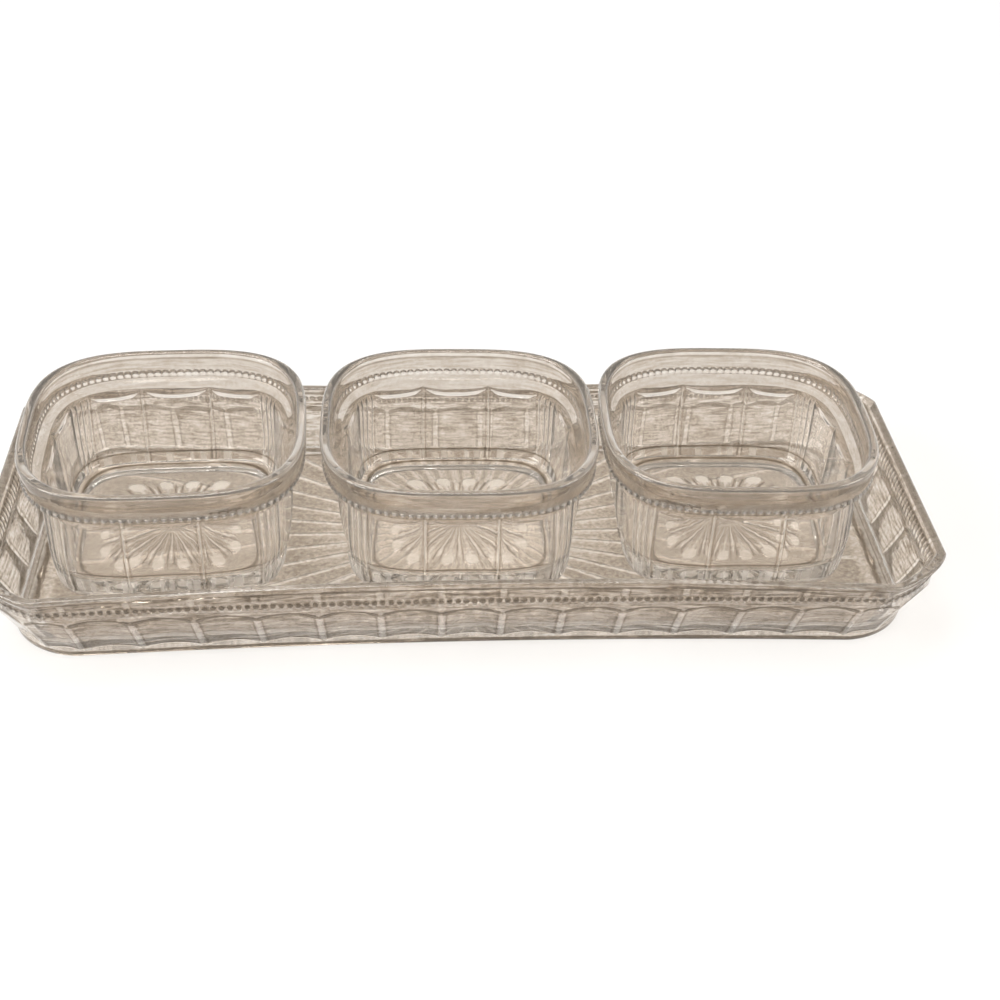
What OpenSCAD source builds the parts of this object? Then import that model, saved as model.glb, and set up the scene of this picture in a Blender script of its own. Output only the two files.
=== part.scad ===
// Pressed-glass relish set: a long fluted tray with three rounded-square bowls standing in it.
// Millimetres. X runs along the tray, Y across it, Z up; the origin lies under the middle of the tray.

/* [Bowls] */
// Width of a bowl over its rim, alike in X and Y
bowl_w = 101; // [80:1:130]
// Height of a bowl
bowl_h = 50.5; // [38:0.5:70]
// Thickness of the rounded lip of a bowl
bowl_lip = 3.6; // [2.5:0.1:5]
// Height of the plain band from the rim down to the beads
bowl_band_h = 11.5; // [8:0.5:15]
// How far the lower wall steps in under the band
bowl_step = 4; // [1:0.1:5]
// Height of the sloping step from the band to the lower wall
bowl_step_h = 2.4; // [1:0.1:4]
// How far the lower wall draws in from its top to its foot
bowl_taper = 4.8; // [2:0.1:9]
// Thickness of the wall below the band
bowl_wall = 4.2; // [3:0.1:5.5]
// Thickness of the base
bowl_base = 7.5; // [5:0.5:10]
// Height of the foot under the panels
bowl_foot_h = 2.2; // [1.5:0.1:4]
// Width of the ring that a bowl stands on
bowl_foot_w = 4; // [3:0.1:7]
// Depth of the hollow under the base
bowl_recess = 1; // [0.5:0.1:1.5]
// Depth of the panels pressed into the wall
panel_dip = 1.1; // [0.3:0.1:1.5]
// How much lower the top of a panel lies in its middle than at the ridges beside it
panel_sag = 2.4; // [0.5:0.1:3]
// Number of narrow ribs round each corner
corner_ribs = 3; // [2:1:5]

/* [Row] */
// Gap between the rims of the left and centre bowls
left_gap = 5; // [1:0.1:12]
// Gap between the rims of the centre and right bowls
right_gap = 1.7; // [1:0.1:12]
// Room from the rim of the left bowl to the left end of the tray
left_room = 12.1; // [8:0.1:30]
// Room from the rim of the right bowl to the right end of the tray
right_room = 20.2; // [8:0.1:30]
// Room from the rims of the bowls to the long sides of the tray, near its corners
side_room = 22.5; // [20:0.5:40]

/* [Tray] */
// Height of the tray
tray_h = 30.5; // [24:0.5:42]
// Thickness of the rounded lip of the tray
tray_lip = 4; // [3:0.1:5]
// Thickness of the sloping wall
tray_wall = 3.8; // [3:0.1:5]
// Thickness of the floor
tray_floor = 4; // [3:0.1:6]
// Height of the ring that the tray stands on
tray_foot_h = 2.5; // [1.5:0.1:4]
// Width of the ring that the tray stands on
tray_foot_w = 3.5; // [2.5:0.1:6]
// How far the fluted wall draws in from its top to the foot
tray_flare = 6.8; // [3:0.1:10]
// Height of the plain band from the rim down to the tops of the flutes
tray_band_h = 12.2; // [9:0.1:14]
// Height from the rim down to the row of beads
tray_bead_drop = 6; // [4:0.1:8]
// How far the band draws in from the rim to the flutes
tray_band_in = 2.8; // [1:0.1:4]
// How far the long sides bow inwards at their middle
side_bow = 5; // [0:0.5:8]
// How much further the rim bows inwards than the wall
rim_bow = 3.5; // [0:0.5:4]
// Leg of the corners at the rim
corner_cut = 23.5; // [16:0.5:28]
// Roundness of the corners at the rim, from 1 for a straight cut to 2 for a quarter of a circle
corner_bulge = 1.3; // [1.1:0.05:2]
// Leg of the corners at the foot
foot_cut = 26; // [18:0.5:27]
// Roundness of the corners at the foot
foot_bulge = 1.85; // [1.1:0.05:2]
// How far the corner flutes reach along each side of the rim
corner_reach = 33; // [32:0.5:38]
// Width of a flute on the straight sides
flute_w = 21; // [15:0.5:30]
// Depth of the flutes
flute_dip = 1.3; // [0.5:0.1:1.8]
// Rise of the arched top of a flute
flute_arch = 1.8; // [0.5:0.1:2.4]
// Number of flutes round each corner
corner_flutes = 3; // [2:1:4]

/* [Hidden] */

// Colour of the clear glass as the photograph shows it
GLASS = [0.84, 0.79, 0.71, 0.6];

// Sizes of the whole tray and the places of the bowls, from the row of bowls
tray_l = 3 * bowl_w + left_gap + right_gap + left_room + right_room;
tray_d = bowl_w + 2 * side_room;
left_x = left_room + bowl_w / 2 - tray_l / 2;
centre_x = left_x + bowl_w + left_gap;
right_x = centre_x + bowl_w + right_gap;
seat_z = tray_foot_h + tray_floor;

// Turns of the bowls as they stand, in degrees
left_turn = 2.4;
centre_turn = -0.6;
right_turn = -1.2;

// Tray: heights of its levels, and how far the outside lies inside the rim there
flute_top_z = tray_h - tray_band_h;
bead_z = tray_h - tray_bead_drop;
foot_slope = 0.3;
ledge = 0.3;
low_arch = 0.9;
lip_round = 1.2;
floor_fillet = 4;
flute_low_z = tray_foot_h + ledge;
tray_bead_in = tray_band_in - foot_slope;
tray_foot_in = tray_band_in + tray_flare;

// Share of the wall's draw by which the ends of the flutes move in with it
lean_share = 0.4;
// Share of an inward offset by which the leg of a straight corner cut shrinks
cut_share = 2 - sqrt(2);
// Segments across one flute or panel, and across one narrow rib
flute_steps = 4;
rib_steps = 2;

// Tray: flutes that fit on the sides, an odd number on a long side and an even one on an end
long_flutes = 2 * floor((tray_l / 2 - corner_reach) / flute_w) + 1;
end_flutes = 2 * max(1, round((tray_d / 2 - corner_reach) / flute_w));
quarter_flutes = end_flutes / 2 + corner_flutes + long_flutes / 2;

// How far the bow of the rim draws its widest points in, where the corners start
bow_loss = (side_bow + rim_bow) * (1 - pow(1 - 2 * corner_cut / tray_l, 2));

// Bowl: heights of its levels, and how far the outside lies inside the rim there
bowl_half = bowl_w / 2;
bead_in = 1.4;
bowl_bead_z = bowl_h - bowl_band_h;
wall_top_z = bowl_bead_z - bowl_step_h;
panel_top_z = wall_top_z - 2 * ledge;
panel_low_z = bowl_foot_h + ledge;
wall_top_in = bead_in + bowl_step;
inner_fillet = 3;

// Bowl: shares of the wall's height and of its draw, from the foot up: it draws in most near the foot
wall_height_shares = [0, 0.12, 0.49, 1];
wall_draw_shares = [1, 0.58, 0.17, 0];

// Bowl: exponents of its rounded-square outlines, and polar angles of the ridges between panels,
// at the top of the wall and at the foot
rim_power = 3.13;
wall_power = 3.64;
foot_power = 4.6;
ridge_top = [16, 40];
ridge_low = [17, 41];
side_flutes = 1.5;
bowl_flutes = 2 * side_flutes + corner_ribs;

// Share of the depth of the panels that the narrow ribs are cut to
rib_dip_share = 1 / 3;

// Depth across a flute as a share, from 0 on its ridges to 1 in its middle
function scoop(w) = 1 - pow(2 * (w - floor(w)) - 1, 2);

// Way between two values by a share
function blend(a, b, share) = a + (b - a) * share;

// Solid through closed rings of points, from the middle of its underside over its rim to its floor
module ring_solid(rings) {
    n = len(rings[0]);
    last = len(rings) - 1;
    low = len(rings) * n;
    middles = [[0, 0, rings[0][0].z], [0, 0, rings[last][0].z]];
    sides = [for (r = [0:last - 1], i = [0:n - 1]) let (j = (i + 1) % n, a = r * n, b = (r + 1) * n)
             each [[a + i, b + i, b + j], [a + i, b + j, a + j]]];
    caps = [for (i = [0:n - 1]) let (j = (i + 1) % n, a = last * n)
            each [[low, i, j], [low + 1, a + j, a + i]]];
    polyhedron(points = concat([for (ring = rings) each ring], middles), faces = concat(sides, caps),
               convexity = 6);
}

// Whole outline from the quarter between the middle of the right side and the middle of the far side
function full_ring(quarter) = let (m = len(quarter) - 1) concat(
    [for (i = [0:m - 1]) quarter[i]],
    [for (i = [m:-1:1]) [-quarter[i].x, quarter[i].y, quarter[i].z]],
    [for (i = [0:m - 1]) [-quarter[i].x, -quarter[i].y, quarter[i].z]],
    [for (i = [m:-1:1]) [quarter[i].x, -quarter[i].y, quarter[i].z]]);

// The point at a share s of the way round a corner, from the end of the tray to its long side, as an
// offset from the sharp corner; bulge is the exponent of the curve |x|^bulge + |y|^bulge = 1
function corner_point(s, reach, cut, bulge) =
    let (lead = reach - cut, across = cut * sqrt(2), u = s * (2 * lead + across), t = (u - lead) / across)
    t <= 0 ? [0, u - reach]
    : t >= 1 ? [lead + across - u - cut, 0]
    : cut * ([1 - t, t] / pow(pow(1 - t, bulge) + pow(t, bulge), 1 / bulge) - [1, 1]);

// How far the outside of the tray lies inside its rim, and how far its long sides bow, at a height z
function tray_in(z) = lookup(z, [[0, tray_foot_in + foot_slope], [tray_foot_h, tray_foot_in],
                                 [flute_top_z, tray_band_in], [bead_z, tray_bead_in],
                                 [tray_h - lip_round, 0]]);
function tray_bow(z) = lookup(z, [[bead_z, side_bow], [tray_h - lip_round, side_bow + rim_bow]]);

// One point of the tray's outline: w counts flutes from the middle of the right end, inside is how far
// it lies within the outside of the wall
function tray_point(w, z, inside) =
    let (low = 1 - z / tray_h, inset = tray_in(z) + inside,
         half_l = tray_l / 2 - inset, half_d = tray_d / 2 + bow_loss - inset,
         reach = corner_reach - inset * (1 - lean_share),
         bulge = blend(corner_bulge, foot_bulge, low),
         cut = blend(corner_cut, foot_cut, low) - inside * blend(cut_share, 1, bulge - 1),
         corner_w = end_flutes / 2, side_w = corner_w + corner_flutes,
         p = w < corner_w ? [half_l, (half_d - reach) * w / corner_w]
             : w < side_w
                 ? [half_l, half_d] + corner_point((w - corner_w) / corner_flutes, reach, cut, bulge)
                 : [(half_l - reach) * (quarter_flutes - w) / (quarter_flutes - side_w), half_d])
    [p.x, p.y - tray_bow(z) * (1 - pow(p.x / half_l, 2)), z];

// Ring of the tray at a height z: dip deepens it and arch lifts it towards the middle of each flute
function tray_ring(z, inside = 0, dip = 0, arch = 0) = full_ring(
    [for (k = [0:quarter_flutes * flute_steps]) let (w = k / flute_steps, s = scoop(w))
     tray_point(w, z + arch * s, inside + dip * s)]);

module tray() {
    color(GLASS)
    ring_solid([
        tray_ring(tray_foot_h, tray_foot_w + foot_slope),
        tray_ring(0, tray_foot_w),
        tray_ring(0, foot_slope),
        tray_ring(tray_foot_h),
        tray_ring(flute_low_z, 0, flute_dip, low_arch),
        tray_ring((flute_low_z + flute_top_z) / 2, 0, flute_dip),
        tray_ring(flute_top_z - ledge, 0, flute_dip, flute_arch),
        tray_ring(flute_top_z + ledge, 0, 0, flute_arch),
        tray_ring(bead_z),
        tray_ring(tray_h - lip_round),
        tray_ring(tray_h, lip_round),
        tray_ring(tray_h, tray_lip - lip_round),
        tray_ring(tray_h - lip_round, tray_lip),
        tray_ring(flute_top_z, tray_wall),
        tray_ring(seat_z + floor_fillet, tray_wall),
        tray_ring(seat_z + floor_fillet / 4, tray_wall + floor_fillet / 4),
        tray_ring(seat_z, tray_wall + floor_fillet),
    ]);
}

// How far the outside of a bowl lies inside its rim, and the exponent of its outline, at a height z
function bowl_in(z) = lookup(z, concat(
    [for (k = [0:len(wall_height_shares) - 1])
     [wall_top_z * wall_height_shares[k], wall_top_in + bowl_taper * wall_draw_shares[k]]],
    [[bowl_bead_z, bead_in], [bowl_h - lip_round, 0]]));
function bowl_power(z) = lookup(z, [[0, foot_power], [wall_top_z, wall_power], [bowl_bead_z, rim_power]]);

// Polar angle at a count w of panels and ribs from the middle of a side, up to the next side
function bowl_angle(w, z) =
    let (share = lookup(z, [[bowl_foot_h, 0], [wall_top_z, 1]]),
         first = blend(ridge_low[0], ridge_top[0], share),
         second = blend(ridge_low[1], ridge_top[1], share))
    lookup(w, [[0, 0], [1 / 2, first], [side_flutes, second], [bowl_flutes - side_flutes, 90 - second],
               [bowl_flutes - 1 / 2, 90 - first], [bowl_flutes, 90]]);

// One point of a rounded square of half width a
function square_point(a, power, angle, z) =
    let (r = a / pow(pow(abs(cos(angle)), power) + pow(abs(sin(angle)), power), 1 / power))
    [r * cos(angle), r * sin(angle), z];

// Counts of panels and ribs at which the outline of a bowl has its points, over one quarter
bowl_stations = concat(
    [for (k = [0:side_flutes * flute_steps - 1]) k / flute_steps],
    [for (k = [0:corner_ribs * rib_steps - 1]) side_flutes + k / rib_steps],
    [for (k = [0:side_flutes * flute_steps]) side_flutes + corner_ribs + k / flute_steps]);

// Depth across the panels and ribs of a bowl
function bowl_scoop(w) = scoop(w + 1 / 2) * (abs(w - bowl_flutes / 2) < corner_ribs / 2 ? rib_dip_share : 1);

function bowl_ring(z, inside = 0, dip = 0, arch = 0) = full_ring(
    [for (w = bowl_stations) let (s = bowl_scoop(w), zz = z + arch * s)
     square_point(bowl_half - bowl_in(zz) - inside - dip * s, bowl_power(zz), bowl_angle(w, zz), zz)]);

module bowl() {
    color(GLASS)
    ring_solid([
        bowl_ring(bowl_recess, bowl_foot_w + ledge),
        bowl_ring(0, bowl_foot_w),
        bowl_ring(0, ledge),
        bowl_ring(bowl_foot_h),
        bowl_ring(panel_low_z, 0, panel_dip, low_arch),
        for (share = wall_height_shares) if (share > 0 && share < 1)
            bowl_ring(blend(panel_low_z + low_arch, panel_top_z - ledge, share), 0, panel_dip),
        bowl_ring(panel_top_z - ledge, 0, panel_dip, -panel_sag),
        bowl_ring(panel_top_z + ledge, 0, 0, -panel_sag),
        bowl_ring(wall_top_z),
        bowl_ring(bowl_bead_z),
        bowl_ring(bowl_h - lip_round),
        bowl_ring(bowl_h, lip_round),
        bowl_ring(bowl_h, bowl_lip - lip_round),
        bowl_ring(bowl_h - lip_round, bowl_lip),
        bowl_ring(bowl_bead_z + bowl_lip, bowl_lip),
        bowl_ring(wall_top_z, bowl_wall),
        bowl_ring(wall_top_z * wall_height_shares[2], bowl_wall),
        bowl_ring(bowl_base + inner_fillet, bowl_wall),
        bowl_ring(bowl_base + inner_fillet / 4, bowl_wall + inner_fillet / 4),
        bowl_ring(bowl_base, bowl_wall + inner_fillet),
    ]);
}

module bowl_left() {
    translate([left_x, 0, seat_z]) rotate([0, 0, left_turn]) bowl();
}

module bowl_centre() {
    translate([centre_x, 0, seat_z]) rotate([0, 0, centre_turn]) bowl();
}

module bowl_right() {
    translate([right_x, 0, seat_z]) rotate([0, 0, right_turn]) bowl();
}

tray();
bowl_left();
bowl_centre();
bowl_right();
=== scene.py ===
"""Looks of the relish set: a long pressed-glass tray with three rounded-square bowls standing in it."""
import math

import bpy
import numpy as np
from mathutils import Matrix, Vector


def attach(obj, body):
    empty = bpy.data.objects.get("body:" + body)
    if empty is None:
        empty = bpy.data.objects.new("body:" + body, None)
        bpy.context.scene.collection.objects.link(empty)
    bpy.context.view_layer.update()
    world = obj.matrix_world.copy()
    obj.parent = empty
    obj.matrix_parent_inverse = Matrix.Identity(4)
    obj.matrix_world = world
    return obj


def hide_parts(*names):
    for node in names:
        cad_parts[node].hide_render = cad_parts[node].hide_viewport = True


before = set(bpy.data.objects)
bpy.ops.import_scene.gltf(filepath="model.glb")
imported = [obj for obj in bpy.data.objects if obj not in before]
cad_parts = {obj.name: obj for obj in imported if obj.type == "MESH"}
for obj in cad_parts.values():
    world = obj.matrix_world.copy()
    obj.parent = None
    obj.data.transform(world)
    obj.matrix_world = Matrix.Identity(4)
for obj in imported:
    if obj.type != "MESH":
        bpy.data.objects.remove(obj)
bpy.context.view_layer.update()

# Sizes in millimetres, as in the part's source; MM turns them into metres
MM = 0.001

# Rows of beads: the space of each, its radius and height, and the rings across it
BEAD_PITCH = 2.85
BEAD_R = 1.15
BEAD_H = 0.75
BEAD_ROWS = 7

# Tray
TRAY_L = 342.0
TRAY_D = 146.0
TRAY_H = 30.5
TRAY_LIP = 4.0
TRAY_WALL = 3.8
TRAY_FLOOR = 4.0
TRAY_FOOT_H = 2.5
TRAY_FOOT_W = 3.5
FLUTE_TOP_Z = TRAY_H - 12.2
BEAD_Z = TRAY_H - 6.0
BAND_IN = 2.8
FOOT_SLOPE = 0.3
FOOT_IN = BAND_IN + 6.8
LIP_ROUND = 1.2
SIDE_BOW = 5.0
RIM_BOW = 3.5
CORNER_CUT, CORNER_BULGE = 23.5, 1.3
FOOT_CUT, FOOT_BULGE = 26.0, 1.85
CORNER_REACH = 33.0
END_FLUTES, CORNER_FLUTES, LONG_FLUTES = 4, 3, 13
QUARTER_FLUTES = END_FLUTES / 2 + CORNER_FLUTES + LONG_FLUTES / 2
FLUTE_DIP = 1.3
FLUTE_ARCH = 1.8
LOW_ARCH = 0.9
LEAN_SHARE = 0.4
CUT_SHARE = 2 - math.sqrt(2)
FLOOR_FILLET = 4.0
SEAT_Z = TRAY_FOOT_H + TRAY_FLOOR
BOW_LOSS = (SIDE_BOW + RIM_BOW) * (1 - (1 - 2 * CORNER_CUT / TRAY_L) ** 2)

# Levels of the tray's rings: past the arches, where a part of their rise is left, over the beads, under the
# lip with a painted dark line, and down the inside from its painted dark line past the lip to the fillet
PAST_ARCH_Z, PAST_ARCH_RISE = FLUTE_TOP_Z + 2.6, FLUTE_ARCH / 3
OVER_BEADS_Z = BEAD_Z + BEAD_R + 0.5
TRAY_LIP_Z = TRAY_H - LIP_ROUND
UNDER_LIP_Z, UNDER_LIP_LINE_Z = TRAY_LIP_Z - 0.9, TRAY_LIP_Z - 0.3
TRAY_LINE_Z, PAST_LIP_Z = TRAY_H - 1.8, TRAY_H - 3
TRAY_INSIDE_ZS = (TRAY_H - 5, FLUTE_TOP_Z, SEAT_Z + 7, SEAT_Z + FLOOR_FILLET)

# Bowls: place along the row and turn in degrees of each
BOWLS = {"left": (-108.4, 2.4), "centre": (-2.4, -0.6), "right": (100.3, -1.2)}
BOWL_HALF = 50.5
BOWL_H = 50.5
BOWL_LIP = 3.6
BOWL_WALL = 4.2
BOWL_BASE = 7.5
BOWL_FOOT_H = 2.2
BOWL_FOOT_W = 4.0
BOWL_RECESS = 1.0
BOWL_BEAD_Z = BOWL_H - 11.5
BEAD_IN = 1.4
WALL_TOP_Z = BOWL_BEAD_Z - 2.4
WALL_TOP_IN = BEAD_IN + 4.0
BOWL_TAPER = 4.8
PANEL_DIP = 1.1
PANEL_SAG = 2.4
PANEL_TOP_Z = WALL_TOP_Z - 0.6
INNER_FILLET = 3.0
WALL_HEIGHT_SHARES = (0, 0.12, 0.49, 1)
WALL_DRAW_SHARES = (1, 0.58, 0.17, 0)
RIM_POWER, WALL_POWER, FOOT_POWER = 3.13, 3.64, 4.6
RIDGE_TOP, RIDGE_LOW = (16, 40), (17, 41)
SIDE_PANELS, CORNER_RIBS = 1.5, 3
QUARTER_PANELS = 2 * SIDE_PANELS + CORNER_RIBS
RIB_PART, PANEL_FLATNESS = 3, 0.6

# Levels of a bowl's rings: up the step, the beads, across the band, and down the inside from a painted dark
# line and the band to the wall and the painted dark line above its base
STEP_ZS = (WALL_TOP_Z, WALL_TOP_Z + 0.5, BOWL_BEAD_Z - 0.4, BOWL_BEAD_Z, BOWL_BEAD_Z + 0.3)
BEAD_ROW_Z = BOWL_BEAD_Z + 1.6
BAND_ZS = (BOWL_BEAD_Z + 3.4, BOWL_H - 4, BOWL_H - LIP_ROUND)
BOWL_LINE_Z = BOWL_H - 1.8
INSIDE_BAND_ZS = (BOWL_H - 2.6, BOWL_H - 4, BOWL_BEAD_Z + BOWL_LIP)
BASE_LINE_Z = BOWL_BASE + INNER_FILLET + 0.5
BOWL_INSIDE_ZS = (WALL_TOP_Z - 1.5, BASE_LINE_Z + 17, BASE_LINE_Z + 8, BASE_LINE_Z + 0.6)
UNDER_LINE_Z = BASE_LINE_Z - 0.5

# Relief: rays under the tray's floor, petals under the bowls' bases
RAYS = 46
RAY_W = 2.4
RAY_DEPTH = 0.3
PETALS = 16
STAR_SHARE = 0.76
TIP_CURVE = 0.12
PETAL_DEPTH = 0.4

# Edges of the relief's painted tones: how sharp the star's outline is, how sharp, long and slim the painted
# light tip of a petal is, how far the painted light of a ray goes in halves of its width, and how sharp and
# rare the painted glints are
STAR_EDGE = 18
TIP_EDGE, TIP_REACH, TIP_SLIMNESS = 9, 2.3, 3
RAY_REACH = 1.2
GLINT_EDGE, GLINT_LEVEL = 1.5, 0.2

# Fine steps: ledge round a flute, edge of a foot, rows that round the foot of a flute, rows up a flute
LEDGE = 0.35
FOOT_EDGE = 0.05
UNDER_EDGE = 0.4
LOW_STEP, LOW_ROWS = 0.25, 3
LOW_RISE = 0.5
WALL_ROWS = 8
FIRST_ROW = 0.1
LEDGE_SHARES = (0, 0.35, 0.75, 1)
LIP_STEPS = 4
FILLET_STEPS = 5

# Rings round the feet, each a height and how far it lies inside the outline
TRAY_FOOT_RINGS = ((0.4, TRAY_FOOT_W), (0.1, TRAY_FOOT_W - 0.3), (0, TRAY_FOOT_W - 1), (0, 1.0), (0.1, 0.4),
                   (0.5, FOOT_EDGE), (TRAY_FOOT_H - 0.3, 0))
BOWL_FOOT_RINGS = ((0.35, BOWL_FOOT_W), (0.05, BOWL_FOOT_W - 1), (0.03, 2.0), (0.2, 0.8), (0.7, 0.3),
                   (1.5, 0.1), (BOWL_FOOT_H - 0.4, 0), (BOWL_FOOT_H, FOOT_EDGE))

# Rings over undersides and floors, as shares of their outline
RAY_SHARES, UNDER_SHARES = (0.02, 0.1, 0.4, 0.94), (0.955, 1)
PETAL_SHARES = (0.02, 0.06, 0.12, 0.2, 0.3, 0.4, 0.5, 0.6, 0.66, 0.7, 0.73, 0.76, 0.79, 0.82, 0.9, 1)
TRAY_FLOOR_SHARES, BOWL_FLOOR_SHARES = (0.97, 0.7, 0.3, 0.03), (0.97, 0.6, 0.3, 0.04)

# Tones of the glass, painted light and shade in its colour that stand in for its refractions: -1 gives its
# darkest colour and 1 its lightest, and lines go past these so that streaks don't hide them. They are for
# the bowls' band, the step under it and the base, the tray's floor and foot, the beads, the lines beside the
# lips and above a bowl's base, and the rounded edge of a floor from the wall inwards, weaker on the tray.
# Painted shade darkens the band, the step, the foot and the tray's floor, and makes the dark lines and the
# tray's dark beads; painted light lightens the bowls' base and makes their light beads
BAND_TONE = -0.85
STEP_TONE = -0.9
BASE_TONE = 0.3
FLOOR_TONE = -0.05
FOOT_TONE = -1.0
TRAY_BEAD_TONE, BOWL_BEAD_TONE = -2.6, 1.5
TRAY_LIP_TONE, BOWL_LIP_TONE = -1.6, -1.5
BASE_LINE_TONE = -2.4
EDGE_TONES = (0, 0.2, 0.2, -0.4, -2.4)
TRAY_EDGE_PART = 3

# Pairs of painted tones, on a ridge and in the middle of a flute or panel: the light ones are painted
# highlights and the dark ones painted shade
FOOT_TOP_TONES = (0.6, 0.9)
FLUTE_LOW_TONES, PANEL_LOW_TONES = (0.9, 1.5), (0.7, 1.1)
FLUTE_TONES, PANEL_TONES = (1.3, 0), (1.9, 0.05)
ARCH_TONES, SAG_TONES = (0, -2), (0.3, -0.6)
UNDER_BEAD_TONES, OVER_BEAD_TONES, UNDER_LIP_TONES = (0.4, 0.3), (0.9, -0.1), (0.7, -0.1)

# Rings below and above the tray's arches and below the panels' sag, each a count of ledges and its painted
# light and shade tones
UNDER_ARCH = ((2.2, (1, 0)), (1.5, (0.4, -1)))
OVER_ARCH = ((2.2, ARCH_TONES), (3.4, (0.4, 0.5)))
UNDER_SAG_LEDGES, UNDER_SAG_TONES = 1.6, (1.2, 0)

# Painted tone across a ridge, a painted highlight with painted shade beside it, by the depth of the flute
# beside it, and how much narrower the bowls' ridges are
RIDGE_DEPTHS, RIDGE_PROFILE = (0, 0.14, 0.27, 0.4), (1, 0.7, -0.7, 0)
RIDGE_SHARPNESS = 2.2

# Painted tone across a petal, from its middle to its edge, at its tip, where it is a painted highlight, and
# under the whole base, and of rays, painted light with painted shade beside them
PETAL_SIDES = (0, 0.12, 0.28, 0.55, 0.75, 0.88, 1)
PETAL_TONES = (1.5, 0.8, -1.4, -0.6, -2.2, 1, 2)
TIP_TONE = 3
UNDER_TONE = 0.15
RAY_TONE, BESIDE_RAY_TONE = 2.4, -0.6

# Painted glints, light patches low on a bowl's wall: waves round it as counts and shifts, their tone and the
# painted shade between them
GLINT_WAVES = ((23, 0.7), (37, 2.1), (61, 0))
GLINT_TONE, BETWEEN_TONE = 2.6, -0.7
GLINT_ROWS = 2

# Glass: refraction, colours by tone from dark at 0 to light at 1, with the glass's own warm cast in the
# middle and the painted shade and painted highlights towards the ends, the share of lamplight that it lets
# through, the scales of its streaks, specks and waves, which part of their noise streaks and specks use,
# and how much weaker specks are than streaks
GLASS_IOR = 1.5
GLASS_COLOURS = ((0, (0.17, 0.135, 0.10, 1)), (0.3, (0.46, 0.39, 0.315, 1)), (0.5, (0.70, 0.645, 0.585, 1)),
                 (1, (1.0, 0.975, 0.945, 1)))
LAMPLIGHT_SHARE = (0.80, 0.785, 0.76, 1)
STREAK_SCALE, STREAK_NOISE = (110, 110, 1100), (0.3, 0.7)
SPECK_SCALE, SPECK_NOISE, SPECK_PART = 700.0, (0.35, 0.65), 5
WAVE_SCALE, WAVE_STRENGTH = 160.0, 0.5
MAX_ROUGHNESS = 0.02

# The lightest tones, the painted highlights, scatter a share of the light so that they look whiter: from and
# to which tone, and how much clearness they lose
FROST_FROM, FROST_TO, FROST_LOSS = 1.2, 3.0, 0.35

# Studio, in metres: the floor glows by a share that grows from near to far, and the sky darkens upwards
FLOOR_SIZE = 12
FLOOR_COLOUR = (0.9, 0.9, 0.9, 1)
NEAR, FAR = 0.7, 2.0
NEAR_GLOW, FAR_GLOW = 0.5, 1.0
SKY_COLOURS = ((0.3, (1, 1, 1, 1)), (0.5, (0.34, 0.3, 0.26, 1)))
LAMP_COLOUR = (1.0, 0.985, 0.96)

# Lamps: place, size and power
LAMPS = {"lamp_top": ((-0.6, 0.7, 2.7), (2.0, 1.4), 45),
         "lamp_left": ((-2.4, -0.8, 1.6), (1.4, 1.4), 46),
         "lamp_right": ((2.4, -0.6, 1.4), (1.2, 1.5), 25)}

# Camera: turn to the right, height and roll in degrees, distance in metres from the point that it is aimed
# at, and lens
CAMERA_YAW, CAMERA_RISE, CAMERA_ROLL = 6.574, 34.933, -3.054
CAMERA_DISTANCE, CAMERA_AIM = 0.6262, (0.03406, 0.00363, 0.015)
SENSOR_WIDTH, LENS_SHARE = 36, 1.628
CAMERA_SHIFT = (-0.05265, 0.00335)
CLIP_START = 0.01

# Points round the outlines: so many to a flute, to a panel and to a rib
FLUTE_POINTS = 28
PANEL_POINTS = 32
RIB_POINTS = 8


def smooth(t):
    """Smooth step from 0 to 1."""
    t = np.clip(t, 0, 1)
    return t * t * (3 - 2 * t)


def scoop(w):
    """Depth across a flute as a share, from 0 on its ridges to 1 in its middle."""
    return 1 - (2 * (w - np.floor(w)) - 1) ** 2


def full(quarter):
    """Whole ring from the quarter between the middle of the right side and that of the far side."""
    mirrored = quarter[:, ::-1]
    return np.concatenate([quarter[:, :-1], mirrored[:, :-1] * [[-1], [1], [1], [1]],
                           quarter[:, :-1] * [[-1], [-1], [1], [1]],
                           mirrored[:, :-1] * [[1], [-1], [1], [1]]], axis=1).T


def even(tone):
    """Pair of tones for a ring with the same tone all round."""
    return tone, tone


def shade(s, tone):
    """Painted light and shade of the glass, from the tone on a ridge to that in the middle of a flute; s is
    the scoop there.
    """
    ridge = np.interp(s, RIDGE_DEPTHS, RIDGE_PROFILE)
    return tone[1] + (tone[0] - tone[1]) * ridge


def tray_in(z):
    """How far the outside of the tray lies inside its rim at a height z."""
    return np.interp(z, [0, TRAY_FOOT_H, FLUTE_TOP_Z, BEAD_Z, TRAY_H - LIP_ROUND],
                     [FOOT_IN + FOOT_SLOPE, FOOT_IN, BAND_IN, BAND_IN - FOOT_SLOPE, 0])


def tray_stations(double):
    """Counts of flutes from the middle of the right end at which the tray has its points."""
    steps = int(QUARTER_FLUTES * FLUTE_POINTS * (2 if double else 1))
    return np.linspace(0, QUARTER_FLUTES, steps + 1)


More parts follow.
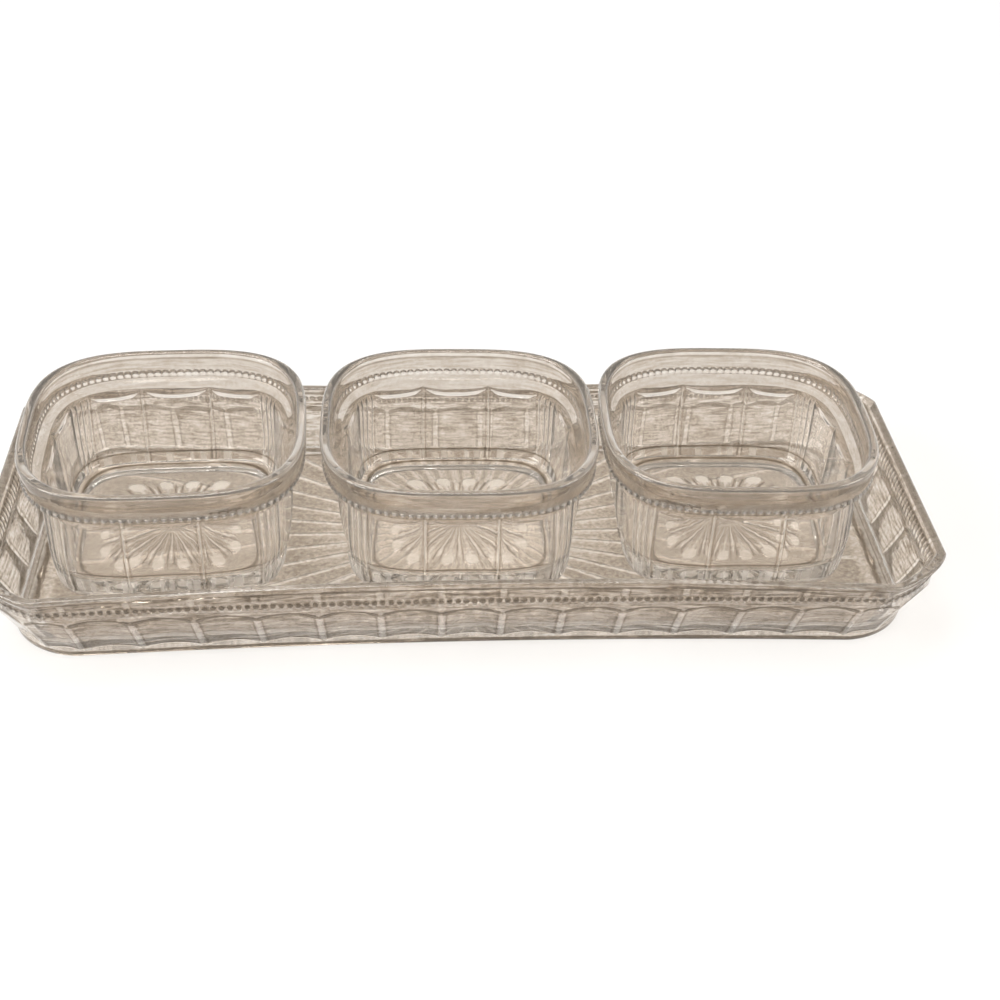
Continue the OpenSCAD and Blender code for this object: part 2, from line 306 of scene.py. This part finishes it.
def tray_ring(z, inside=0.0, dip=0.0, arch=0.0, tone=(0, 0), double=False):
    """Ring of the tray: dip deepens it and arch lifts it towards the middle of each flute."""
    w = tray_stations(double)
    s = scoop(w)
    z = z + arch * s
    inside = inside + dip * s
    low = 1 - z / TRAY_H
    inset = tray_in(z) + inside
    half_l = TRAY_L / 2 - inset
    half_d = TRAY_D / 2 + BOW_LOSS - inset
    reach = CORNER_REACH - inset * (1 - LEAN_SHARE)
    bulge = CORNER_BULGE + (FOOT_BULGE - CORNER_BULGE) * low
    cut = CORNER_CUT + (FOOT_CUT - CORNER_CUT) * low - inside * (CUT_SHARE + (1 - CUT_SHARE) * (bulge - 1))
    corner_w = END_FLUTES / 2
    side_w = corner_w + CORNER_FLUTES
    lead = reach - cut
    across = cut * math.sqrt(2)
    u = (w - corner_w) / CORNER_FLUTES * (2 * lead + across)
    t = np.clip((u - lead) / across, 1e-9, 1 - 1e-9)
    norm = ((1 - t) ** bulge + t ** bulge) ** (1 / bulge)
    corner_x = half_l + np.where(u < lead, 0, np.where(u > lead + across, lead + across - u - cut,
                                                       cut * ((1 - t) / norm - 1)))
    corner_y = half_d + np.where(u < lead, u - reach, np.where(u > lead + across, 0, cut * (t / norm - 1)))
    side_x = (half_l - reach) * (QUARTER_FLUTES - w) / (QUARTER_FLUTES - side_w)
    x = np.where(w < corner_w, half_l, np.where(w < side_w, corner_x, side_x))
    y = np.where(w < corner_w, (half_d - reach) * w / corner_w, np.where(w < side_w, corner_y, half_d))
    bow = np.interp(z, [BEAD_Z, TRAY_H - LIP_ROUND], [SIDE_BOW, SIDE_BOW + RIM_BOW])
    y = y - bow * (1 - (x / half_l) ** 2)
    return full(np.array([x, y, z * np.ones_like(x), shade(s, tone)]))


def bowl_in(z):
    """How far the outside of a bowl lies inside its rim at a height z."""
    return np.interp(z, [WALL_TOP_Z * h for h in WALL_HEIGHT_SHARES] + [BOWL_BEAD_Z, BOWL_H - LIP_ROUND],
                     [WALL_TOP_IN + BOWL_TAPER * d for d in WALL_DRAW_SHARES] + [BEAD_IN, 0])


def bowl_stations(double):
    """Counts of panels and ribs from the middle of a side at which a bowl has its points."""
    k = 2 if double else 1
    panel = np.linspace(0, SIDE_PANELS, int(SIDE_PANELS * PANEL_POINTS * k) + 1)
    ribs = np.linspace(0, CORNER_RIBS, CORNER_RIBS * RIB_POINTS * k + 1) + SIDE_PANELS
    return np.concatenate([panel, ribs[1:], panel[1:] + SIDE_PANELS + CORNER_RIBS])


def bowl_scoop(w):
    """Depth across the panels and ribs of a bowl, flat in the middle of a panel."""
    ribs = abs(w - QUARTER_PANELS / 2) < CORNER_RIBS / 2
    across = scoop(w + 0.5)
    return np.where(ribs, across / RIB_PART, across ** PANEL_FLATNESS)


def bowl_ring(z, inside=0.0, dip=0.0, arch=0.0, tone=(0, 0), double=False):
    """Ring of a bowl, about its own middle."""
    w = bowl_stations(double)
    s = bowl_scoop(w)
    z = z + arch * s
    share = np.interp(z, [BOWL_FOOT_H, WALL_TOP_Z], [0, 1])
    first = RIDGE_LOW[0] + (RIDGE_TOP[0] - RIDGE_LOW[0]) * share
    second = RIDGE_LOW[1] + (RIDGE_TOP[1] - RIDGE_LOW[1]) * share
    near = np.minimum(w, QUARTER_PANELS - w)
    angle = np.where(near < 0.5, near / 0.5 * first,
                     np.where(near < SIDE_PANELS, first + (near - 0.5) * (second - first),
                              second + (near - SIDE_PANELS) / (CORNER_RIBS / 2) * (45 - second)))
    angle = np.radians(np.where(w > QUARTER_PANELS / 2, 90 - angle, angle))
    power = np.interp(z, [0, WALL_TOP_Z, BOWL_BEAD_Z], [FOOT_POWER, WALL_POWER, RIM_POWER])
    a = BOWL_HALF - bowl_in(z) - inside - dip * s
    c, d = np.abs(np.cos(angle)), np.abs(np.sin(angle))
    r = a / (c ** power + d ** power) ** (1 / power)
    return full(np.array([r * np.cos(angle), r * np.sin(angle), z * np.ones_like(r),
                          shade(RIDGE_SHARPNESS * scoop(w + 0.5), tone)]))


def bead_rows(ring_at, z, tone, ground=0.0):
    """Rings across a row of beads at a height z, ring_at(z) being the plain ring and ground its tone."""
    base = ring_at(z)
    steps = np.linalg.norm((np.roll(base, -1, axis=0) - base)[:, :2], axis=1)
    along = np.concatenate([[0], np.cumsum(steps)[:-1]])
    count = round(steps.sum() / BEAD_PITCH)
    phase = along / steps.sum() * count
    u = (phase - np.floor(phase) - 0.5) * steps.sum() / count / BEAD_R
    out = np.roll(base, -1, axis=0) - np.roll(base, 1, axis=0)
    out = np.stack([out[:, 1], -out[:, 0], 0 * u, 0 * u], axis=1)
    out /= np.linalg.norm(out, axis=1)[:, None]
    rings = []
    for v in np.linspace(-1, 1, BEAD_ROWS):
        ring = ring_at(z + v * BEAD_R)
        height = np.sqrt(np.clip(1 - v * v - u * u, 0, 1))
        ring += out * BEAD_H * height[:, None]
        # Painted tone on the beads: painted shade on the tray's, painted highlights on the bowls'
        ring[:, 3] = ground + (tone - ground) * height ** 2
        rings.append(ring)
    return rings


def painted_glints(ring):
    """Painted glints: light patches with painted shade between, where the thick base of a bowl catches the
    light.
    """
    angle = np.arctan2(ring[:, 1], ring[:, 0])
    wave = sum(np.sin(count * angle + shift) for count, shift in GLINT_WAVES)
    ring[:, 3] += GLINT_TONE * smooth(GLINT_EDGE * wave - GLINT_LEVEL) + BETWEEN_TONE
    return ring


def lip_rings(ring_at, top, width, steps=LIP_STEPS):
    """Rings over a rounded lip, from its outside to its inside; ring_at(z, inside) gives a plain ring."""
    rings = []
    for k in range(1, steps + 1):
        a = math.radians(90 * k / steps)
        rings.append(ring_at(top - LIP_ROUND * (1 - math.sin(a)), LIP_ROUND * (1 - math.cos(a))))
    for k in range(steps + 1):
        a = math.radians(90 * k / steps)
        rings.append(ring_at(top - LIP_ROUND * (1 - math.cos(a)), width - LIP_ROUND * (1 - math.sin(a))))
    return rings


def scaled(ring, share, z, tone=0.0):
    """A ring drawn in towards the middle by a share, at a height z."""
    out = ring * share
    out[:, 2] = z
    out[:, 3] = tone
    return out


def rays(ring):
    """Lifts the underside of the tray's floor along straight rays from its middle."""
    angle = np.arctan2(ring[:, 1], ring[:, 0])
    r = np.hypot(ring[:, 0], ring[:, 1])
    step = 2 * math.pi / RAYS
    off = np.abs((angle / step + 0.5) % 1 - 0.5) * step * r / (RAY_W / 2)
    ring = ring.copy()
    ring[:, 2] += RAY_DEPTH * np.clip(1 - off, 0, 1)
    # Painted light along each ray, with painted shade beside it
    ring[:, 3] = RAY_TONE * smooth(RAY_REACH - off) + BESIDE_RAY_TONE
    return ring


def petals(outline, share):
    """Ring of a bowl's underside at a share of its outline, lifted in petals that make a star."""
    ring = scaled(outline, share, BOWL_RECESS)
    angle = np.arctan2(ring[:, 1], ring[:, 0])
    side = np.abs(angle * PETALS / (2 * math.pi) % 1 - 0.5) * 2
    past = share / STAR_SHARE - 1 + TIP_CURVE * side ** 2
    inside = 1 - smooth(STAR_EDGE * past + 1)
    ring[:, 2] += PETAL_DEPTH * (1 - side ** 2) * smooth(share / STAR_SHARE) ** 0.5 * inside
    # Painted highlight at each petal's tip, and painted light and shade lines across the petals
    painted_tip_highlight = smooth(TIP_EDGE * past + TIP_REACH) * smooth(2 - TIP_SLIMNESS * side)
    lines = np.interp(side, PETAL_SIDES, PETAL_TONES)
    ring[:, 3] = inside * (lines * (1 - painted_tip_highlight) + TIP_TONE * painted_tip_highlight) + UNDER_TONE
    return ring


def low_rings(ring_at, low, dip, tones):
    """Rings that round the foot of the flutes or panels above a height low."""
    rings = []
    for k in range(1, LOW_ROWS + 1):
        edge = FOOT_EDGE * (LOW_ROWS - k) / LOW_ROWS
        rings.append(ring_at(low + LOW_STEP * k - LOW_STEP, edge, dip * k / LOW_ROWS, LOW_ARCH, tones))
    return rings


def wall_rings(ring_at, low, top, dip, arch, tones):
    """Rings up the flutes or panels, from just above low to their tops, arched there as given."""
    rings = []
    for k in range(WALL_ROWS):
        share = (k + FIRST_ROW) / WALL_ROWS
        z = low + LOW_RISE + (top - LEDGE - low - LOW_RISE) * share
        rings.append(ring_at(z, 0, dip, LOW_ARCH + (arch - LOW_ARCH) * share, tones))
    return rings


def ledge_rings(ring_at, top, dip, arch, tones):
    """Rings over the ledge above the flutes or panels."""
    return [ring_at(top - LEDGE + 2 * LEDGE * share, 0, dip * (1 - float(smooth(share))), arch, tones)
            for share in LEDGE_SHARES]


def fillet_rings(ring_at, floor_z, wall, radius, tone_part=1):
    """Rings round the edge of a floor, from the wall inwards."""
    rings = []
    for k in range(1, FILLET_STEPS + 1):
        a = math.radians(90 * k / FILLET_STEPS)
        # The edge's tones end in a painted dark line where it meets the floor
        rings.append(ring_at(floor_z + radius * (1 - math.sin(a)), wall + radius * (1 - math.cos(a)),
                             tone=even(EDGE_TONES[k - 1] / tone_part)))
    return rings


def skin(name, rings, low_z, high_z):
    """Closed mesh through rings of points, from the middle of its underside to that of its floor."""
    points = [np.array([[0, 0, low_z, 0]])] + rings + [np.array([[0, 0, high_z, 0]])]
    starts = np.cumsum([0] + [len(p) for p in points])
    faces = []
    for r in range(len(points) - 1):
        a, b, na, nb = starts[r], starts[r + 1], len(points[r]), len(points[r + 1])
        if na == 1:
            faces += [(a, b + (i + 1) % nb, b + i) for i in range(nb)]
        elif nb == 1:
            faces += [(b, a + i, a + (i + 1) % na) for i in range(na)]
        elif na == nb:
            faces += [(a + i, a + (i + 1) % na, b + (i + 1) % nb, b + i) for i in range(na)]
        elif nb == 2 * na:
            for i in range(na):
                j = (i + 1) % na
                faces += [(a + i, b + 2 * i + 1, b + 2 * i), (a + i, a + j, b + 2 * i + 1),
                          (a + j, b + (2 * i + 2) % nb, b + 2 * i + 1)]
        else:
            for i in range(nb):
                j = (i + 1) % nb
                faces += [(a + 2 * i, a + 2 * i + 1, b + i), (b + i, a + 2 * i + 1, b + j),
                          (a + 2 * i + 1, a + (2 * i + 2) % na, b + j)]
    mesh = bpy.data.meshes.new(name)
    points = np.concatenate(points)
    mesh.from_pydata((points[:, :3] * MM).tolist(), [], faces)
    mesh.attributes.new("tone", "FLOAT", "POINT").data.foreach_set("value", points[:, 3])
    mesh.shade_smooth()
    piece = bpy.data.objects.new(name, mesh)
    bpy.context.scene.collection.objects.link(piece)
    return piece


def make_tray():
    """The tray: fluted outside with a beaded band, smooth inside, rays under its floor."""
    low = TRAY_FOOT_H + LEDGE
    # Painted dark lines, one under the lip outside and one inside below the lip
    painted_shade_line = even(TRAY_LIP_TONE)
    inner_foot = tray_ring(TRAY_FOOT_H, TRAY_FOOT_W + FOOT_SLOPE + UNDER_EDGE)
    rings = [rays(scaled(inner_foot, share, TRAY_FOOT_H)) for share in RAY_SHARES]
    rings += [scaled(inner_foot, share, TRAY_FOOT_H) for share in UNDER_SHARES]
    # The foot is darkened with painted shade, with a painted highlight line along its top
    rings += [tray_ring(z, inside, tone=even(FOOT_TONE)) for z, inside in TRAY_FOOT_RINGS]
    rings.append(tray_ring(TRAY_FOOT_H, FOOT_EDGE, tone=FOOT_TOP_TONES))
    rings += low_rings(tray_ring, low, FLUTE_DIP, FLUTE_LOW_TONES)
    rings += wall_rings(tray_ring, low, FLUTE_TOP_Z, FLUTE_DIP, FLUTE_ARCH, FLUTE_TONES)
    rings += [tray_ring(FLUTE_TOP_Z - count * LEDGE, 0, FLUTE_DIP, FLUTE_ARCH, tones)
              for count, tones in UNDER_ARCH]
    rings += ledge_rings(tray_ring, FLUTE_TOP_Z, FLUTE_DIP, FLUTE_ARCH, ARCH_TONES)
    rings += [tray_ring(FLUTE_TOP_Z + count * LEDGE, 0, 0, FLUTE_ARCH, tones)
              for count, tones in OVER_ARCH]
    rings.append(tray_ring(PAST_ARCH_Z, 0, 0, PAST_ARCH_RISE, UNDER_BEAD_TONES))
    rings += bead_rows(lambda z: tray_ring(z, double=True), BEAD_Z, TRAY_BEAD_TONE)
    rings.append(tray_ring(OVER_BEADS_Z, tone=OVER_BEAD_TONES))
    rings.append(tray_ring(UNDER_LIP_Z, tone=UNDER_LIP_TONES))
    rings.append(tray_ring(UNDER_LIP_LINE_Z, tone=painted_shade_line))
    rings.append(tray_ring(TRAY_LIP_Z))
    rings += lip_rings(tray_ring, TRAY_H, TRAY_LIP)
    rings += [tray_ring(TRAY_LINE_Z, TRAY_LIP, tone=painted_shade_line), tray_ring(PAST_LIP_Z, TRAY_LIP)]
    rings += [tray_ring(z, TRAY_WALL) for z in TRAY_INSIDE_ZS]
    rings += fillet_rings(tray_ring, SEAT_Z, TRAY_WALL, FLOOR_FILLET, TRAY_EDGE_PART)
    edge = tray_ring(SEAT_Z, TRAY_WALL + FLOOR_FILLET)
    rings += [scaled(edge, share, SEAT_Z, FLOOR_TONE) for share in TRAY_FLOOR_SHARES]
    return skin("tray_glass", rings, TRAY_FOOT_H + RAY_DEPTH / 2, SEAT_Z)


def make_bowl(name):
    """A bowl about its own middle: panelled outside with a beaded band, smooth inside, petals below."""
    low = BOWL_FOOT_H + LEDGE
    # The band and the step under it are darkened with painted shade
    band_shade, step = even(BAND_TONE), even(STEP_TONE)
    inner_foot = bowl_ring(BOWL_RECESS, BOWL_FOOT_W + LEDGE + UNDER_EDGE)
    rings = [petals(inner_foot, share) for share in PETAL_SHARES]
    rings += [bowl_ring(z, inside) for z, inside in BOWL_FOOT_RINGS]
    rings += low_rings(bowl_ring, low, PANEL_DIP, PANEL_LOW_TONES)
    panels = wall_rings(bowl_ring, low, PANEL_TOP_Z, PANEL_DIP, -PANEL_SAG, PANEL_TONES)
    # Painted glints low on the panels
    rings += [painted_glints(ring) for ring in panels[:GLINT_ROWS]] + panels[GLINT_ROWS:]
    under_sag = PANEL_TOP_Z - UNDER_SAG_LEDGES * LEDGE
    rings.append(bowl_ring(under_sag, 0, PANEL_DIP, -PANEL_SAG, UNDER_SAG_TONES))
    rings += ledge_rings(bowl_ring, PANEL_TOP_Z, PANEL_DIP, -PANEL_SAG, SAG_TONES)
    rings += [bowl_ring(z, tone=step) for z in STEP_ZS]
    rings += bead_rows(lambda z: bowl_ring(z, double=True), BEAD_ROW_Z, BOWL_BEAD_TONE, BAND_TONE)
    rings += [bowl_ring(z, tone=band_shade) for z in BAND_ZS]
    rings += lip_rings(bowl_ring, BOWL_H, BOWL_LIP)
    # Painted dark line inside the lip
    rings.append(bowl_ring(BOWL_LINE_Z, BOWL_LIP, tone=even(BOWL_LIP_TONE)))
    rings += [bowl_ring(z, BOWL_LIP, tone=band_shade) for z in INSIDE_BAND_ZS]
    rings.append(bowl_ring(WALL_TOP_Z, BOWL_WALL, tone=step))
    rings += [bowl_ring(z, BOWL_WALL) for z in BOWL_INSIDE_ZS]
    # Painted dark line above the base
    rings.append(bowl_ring(BASE_LINE_Z, BOWL_WALL, tone=even(BASE_LINE_TONE)))
    rings.append(bowl_ring(UNDER_LINE_Z, BOWL_WALL))
    rings += fillet_rings(bowl_ring, BOWL_BASE, BOWL_WALL, INNER_FILLET)
    edge = bowl_ring(BOWL_BASE, BOWL_WALL + INNER_FILLET)
    # The floor is lightened with painted light
    rings += [scaled(edge, share, BOWL_BASE, BASE_TONE) for share in BOWL_FLOOR_SHARES]
    return skin(name, rings, BOWL_RECESS, BOWL_BASE)


def new_tree(owner):
    """Emptied node tree of a material or a world."""
    owner.use_nodes = True
    owner.node_tree.nodes.clear()
    return owner.node_tree


def node(tree, kind, sockets=(), operation=None):
    """New node of a kind, with the values of some of its sockets, by name or number, and its operation."""
    made = tree.nodes.new("ShaderNode" + kind)
    if operation:
        made.operation = operation
    for key, value in dict(sockets).items():
        made.inputs[key].default_value = value
    return made


def stretch(tree, value, low, high, start=0.0, end=1.0):
    """Output of a node that takes the values from start to end to those from low to high."""
    made = node(tree, "MapRange", {"From Min": start, "From Max": end, "To Min": low, "To Max": high})
    tree.links.new(value, made.inputs["Value"])
    return made.outputs["Result"]


def noise(tree, vector, scale, detail):
    """Output of a noise texture."""
    made = node(tree, "TexNoise", {"Scale": scale, "Detail": detail})
    tree.links.new(vector, made.inputs["Vector"])
    return made.outputs["Fac"]


def maths(tree, operation, first, second, sockets=()):
    """Output of a maths node of two values; a value that is None is left to the sockets."""
    made = node(tree, "Math", sockets, operation)
    for number, value in enumerate((first, second)):
        if value is not None:
            tree.links.new(value, made.inputs[number])
    return made.outputs[0]


def ramp(tree, value, colours):
    """Output of a colour ramp through pairs of a position and a colour."""
    made = node(tree, "ValToRGB")
    stops = made.color_ramp.elements
    for stop, (position, colour) in zip(stops, (colours[0], colours[-1])):
        stop.position = position
        stop.color = colour
    for position, colour in colours[1:-1]:
        stops.new(position).color = colour
    tree.links.new(value, made.inputs["Fac"])
    return made.outputs["Color"]


def mixed(tree, share, first, second):
    """Sets the material's surface to a mix of two shaders."""
    mix = node(tree, "MixShader")
    for key, value in (("Fac", share), (1, first), (2, second)):
        tree.links.new(value, mix.inputs[key])
    tree.links.new(mix.outputs["Shader"], node(tree, "OutputMaterial").inputs["Surface"])


def make_glass(name, clearness, middle_tone, streak_tone, wave_height):
    """Clear pressed glass with a warm cast: softly waved, streaked and toned along its relief with painted
    light and shade, and letting lamplight through.
    """
    mat = bpy.data.materials.new(name)
    tree = new_tree(mat)
    link = tree.links.new
    glass = node(tree, "BsdfPrincipled", {"Transmission Weight": clearness, "IOR": GLASS_IOR})
    coords = node(tree, "TexCoord")
    place = coords.outputs["Object"]

    # Streaks along upright walls and fine specks everywhere, random painted light and shade that stands in
    # for the glass's refractions, and the painted light and shade of the relief's tone; the sum, from -1 to
    # 1, becomes a place from 0 to 1 along the colours
    flat = node(tree, "Mapping", {"Scale": STREAK_SCALE})
    link(place, flat.inputs["Vector"])
    streak = noise(tree, flat.outputs["Vector"], 1.0, 2.0)
    streaks = stretch(tree, streak, -streak_tone, streak_tone, *STREAK_NOISE)
    speck_tone = streak_tone / SPECK_PART
    specks = stretch(tree, noise(tree, place, SPECK_SCALE, 1.0), -speck_tone, speck_tone, *SPECK_NOISE)
    facing = node(tree, "SeparateXYZ")
    link(coords.outputs["Normal"], facing.inputs["Vector"])
    level = maths(tree, "ABSOLUTE", facing.outputs["Z"], None)
    upright = maths(tree, "SUBTRACT", None, level, {0: 1.0})
    walls = maths(tree, "MULTIPLY_ADD", streaks, upright, {2: middle_tone})
    # The relief's painted light and shade, from the pieces' tone attribute
    painted_light_and_shade = node(tree, "Attribute")
    painted_light_and_shade.attribute_name = "tone"
    tone = maths(tree, "ADD", maths(tree, "ADD", walls, specks), painted_light_and_shade.outputs["Fac"])
    shares = maths(tree, "MULTIPLY_ADD", tone, None, {1: 0.5, 2: 0.5})
    link(ramp(tree, shares, GLASS_COLOURS), glass.inputs["Base Color"])
    # Painted highlights lose clearness, so that a share of the light scatters off them whiter
    painted_highlight_frost = stretch(tree, tone, clearness, clearness - FROST_LOSS, FROST_FROM, FROST_TO)
    link(painted_highlight_frost, glass.inputs["Transmission Weight"])

    # Soft waves of the surface
    wave = noise(tree, place, WAVE_SCALE, 2.0)
    bump = node(tree, "Bump", {"Strength": WAVE_STRENGTH, "Distance": wave_height})
    link(wave, bump.inputs["Height"])
    link(bump.outputs["Normal"], glass.inputs["Normal"])
    link(stretch(tree, wave, 0.0, MAX_ROUGHNESS), glass.inputs["Roughness"])

    clear = node(tree, "BsdfTransparent", {"Color": LAMPLIGHT_SHARE})
    path = node(tree, "LightPath")
    mixed(tree, path.outputs["Is Shadow Ray"], glass.outputs["BSDF"], clear.outputs["BSDF"])
    return mat


def seen(tree):
    """1 for rays from the camera, from a mirror or through glass, else 0."""
    path = node(tree, "LightPath")
    direct = maths(tree, "MAXIMUM", path.outputs["Is Camera Ray"], path.outputs["Is Glossy Ray"])
    return maths(tree, "MAXIMUM", direct, path.outputs["Is Transmission Ray"])


def make_floor():
    """A wide white floor with the object's shadow on it, that fades to plain white far away."""
    bpy.ops.mesh.primitive_plane_add(size=FLOOR_SIZE, location=(0, 0, 0))
    floor = bpy.context.object
    floor.name = "floor"
    mat = bpy.data.materials.new("floor_white")
    tree = new_tree(mat)
    paint = node(tree, "BsdfDiffuse", {"Color": FLOOR_COLOUR})
    white = node(tree, "Emission", {"Strength": 1.0})
    coords = node(tree, "TexCoord")
    away = node(tree, "VectorMath", operation="LENGTH")
    tree.links.new(coords.outputs["Object"], away.inputs[0])
    glow = stretch(tree, away.outputs["Value"], NEAR_GLOW, FAR_GLOW, NEAR, FAR)
    mixed(tree, maths(tree, "MULTIPLY", seen(tree), glow), paint.outputs["BSDF"], white.outputs["Emission"])
    floor.data.materials.append(mat)


def make_world():
    """Soft studio surroundings: white up to some way above the horizon and darker overhead."""
    world = bpy.data.worlds.new("studio")
    bpy.context.scene.world = world
    tree = new_tree(world)
    link = tree.links.new
    coords = node(tree, "TexCoord")
    split = node(tree, "SeparateXYZ")
    back = node(tree, "Background")
    link(coords.outputs["Generated"], split.inputs["Vector"])
    link(ramp(tree, split.outputs["Z"], SKY_COLOURS), back.inputs["Color"])
    link(back.outputs["Background"], node(tree, "OutputWorld").inputs["Surface"])


def make_lamp(name, place, size, power):
    """A rectangular lamp aimed at the middle of the tray."""
    light = bpy.data.lights.new(name, "AREA")
    light.shape = "RECTANGLE"
    light.size, light.size_y = size
    light.energy = power
    light.color = LAMP_COLOUR
    lamp = bpy.data.objects.new(name, light)
    lamp.location = place
    lamp.rotation_euler = (-Vector(place)).to_track_quat("-Z", "Y").to_euler()
    bpy.context.scene.collection.objects.link(lamp)


def make_camera():
    """The photograph's camera: turned a little to the right, 35 degrees above the table."""
    yaw, rise, roll = math.radians(CAMERA_YAW), math.radians(CAMERA_RISE), math.radians(CAMERA_ROLL)
    ahead = Vector((math.sin(yaw) * math.cos(rise), math.cos(yaw) * math.cos(rise), -math.sin(rise)))
    level = Vector((math.cos(yaw), -math.sin(yaw), 0))
    down = ahead.cross(level)
    right = math.cos(roll) * level + math.sin(roll) * down
    up = math.sin(roll) * level - math.cos(roll) * down
    data = bpy.data.cameras.new("camera")
    data.sensor_width = SENSOR_WIDTH
    data.lens = SENSOR_WIDTH * LENS_SHARE
    data.shift_x, data.shift_y = CAMERA_SHIFT
    data.clip_start = CLIP_START
    camera = bpy.data.objects.new("camera", data)
    turn = Matrix((right, up, -ahead)).transposed().to_4x4()
    camera.matrix_world = Matrix.Translation(Vector(CAMERA_AIM) - CAMERA_DISTANCE * ahead) @ turn
    bpy.context.scene.collection.objects.link(camera)
    bpy.context.scene.camera = camera


bpy.context.scene.view_settings.view_transform = "Standard"
make_camera()
tray_glass = make_glass("tray_glass", clearness=0.86, middle_tone=-0.05, streak_tone=1.0,
                        wave_height=0.4 * MM)
bowl_glass = make_glass("bowl_glass", clearness=0.94, middle_tone=0.75, streak_tone=0.3,
                        wave_height=0.15 * MM)
pieces = {"tray": make_tray()}
for side, (x, turn) in BOWLS.items():
    bowl = make_bowl(f"bowl_{side}_glass")
    place = Matrix.Translation(Vector((x, 0, SEAT_Z)) * MM) @ Matrix.Rotation(math.radians(turn), 4, "Z")
    bowl.data.transform(place)
    pieces[f"bowl_{side}"] = bowl
for body, piece in pieces.items():
    piece.data.materials.append(tray_glass if body == "tray" else bowl_glass)
    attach(piece, body)
    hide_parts(body)
make_floor()
make_world()
for lamp_name, (lamp_place, lamp_size, lamp_power) in LAMPS.items():
    make_lamp(lamp_name, lamp_place, lamp_size, lamp_power)

bpy.context.view_layer.update()
